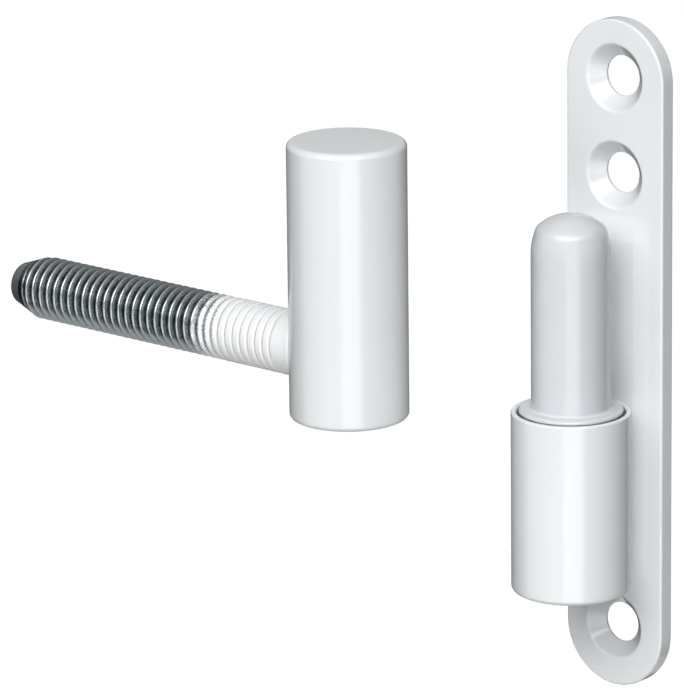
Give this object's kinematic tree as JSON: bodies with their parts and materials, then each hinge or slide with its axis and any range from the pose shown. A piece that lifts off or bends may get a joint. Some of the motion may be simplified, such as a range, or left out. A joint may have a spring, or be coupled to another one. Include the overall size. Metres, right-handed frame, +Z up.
{
  "type": "renovation hinge",
  "caption": "White lift-off renovation hinge taken apart: a screwed plate with an upright bearing pin, and a barrel on a threaded door stud.",
  "frame": {"origin": "on the pin's axis, at the top of the bearing collar where the hung barrel rests", "axes": "+Z up the pin, X along the plate's width, +Y out of the plate's back"},
  "size_m": [0.0882, 0.0313, 0.0862],
  "materials": {
    "white_coat": "gloss white powder coat on steel",
    "bearing_plastic": "satin light grey moulded plastic",
    "stud_steel": "dark zinc-plated steel, white overspray near the barrel",
    "bright_steel": "ground bright steel"
  },
  "bodies": {
    "frame_half": {"mounting_plate": "white_coat", "pin_socket": "white_coat", "socket_weld": "white_coat", "steel_pin": "bright_steel", "bearing_sleeve": "bearing_plastic"},
    "leaf_half": {"leaf_barrel": "white_coat", "threaded_stud": "stud_steel"}
  },
  "joints": [
    {"name": "door_swing", "type": "hinge", "parent": "frame_half", "child": "leaf_half", "pos_m": [-0.0251, -0.0129, -0.0028], "axis": [0, 0, 1], "range_deg": [0, 180]}
  ]
}
